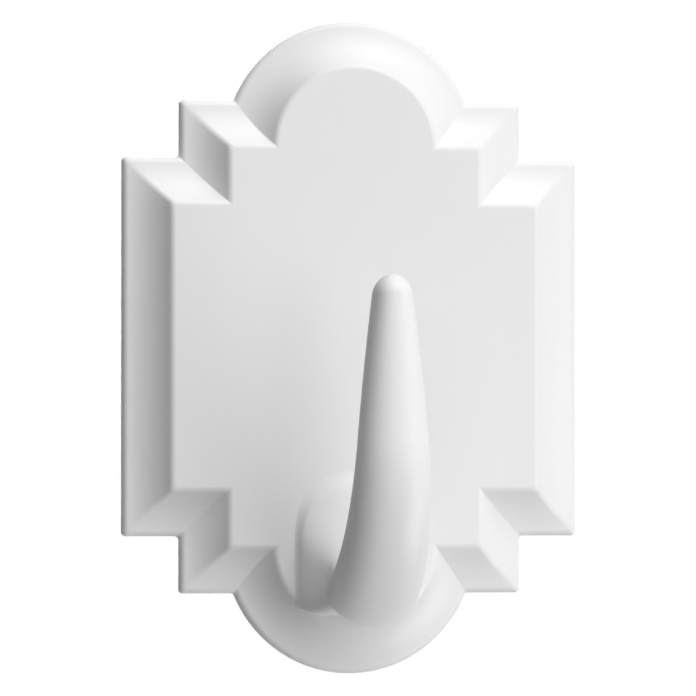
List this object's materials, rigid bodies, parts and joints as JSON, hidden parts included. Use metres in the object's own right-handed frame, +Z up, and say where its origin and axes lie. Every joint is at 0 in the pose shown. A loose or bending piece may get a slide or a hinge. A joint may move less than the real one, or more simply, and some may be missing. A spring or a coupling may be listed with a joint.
{
  "type": "adhesive hook",
  "caption": "Wall hook with a stepped, cove-edged plaque and an upright J-shaped prong, moulded in one piece and held to the wall by a foam adhesive pad.",
  "frame": {"origin": "centre of the adhesive pad's back face, which lies on the wall", "axes": "+Z up along the plaque and the prong, +Y into the wall, and the front of the hook faces -Y"},
  "size_m": [0.048, 0.0239, 0.0674],
  "materials": {
    "white_plastic": "white moulded plastic with a soft gloss",
    "foam_pad": "off-white closed-cell foam with adhesive on both faces"
  },
  "bodies": {
    "root": {"moulded_hook": "white_plastic", "adhesive_pad": "foam_pad"}
  },
  "joints": []
}
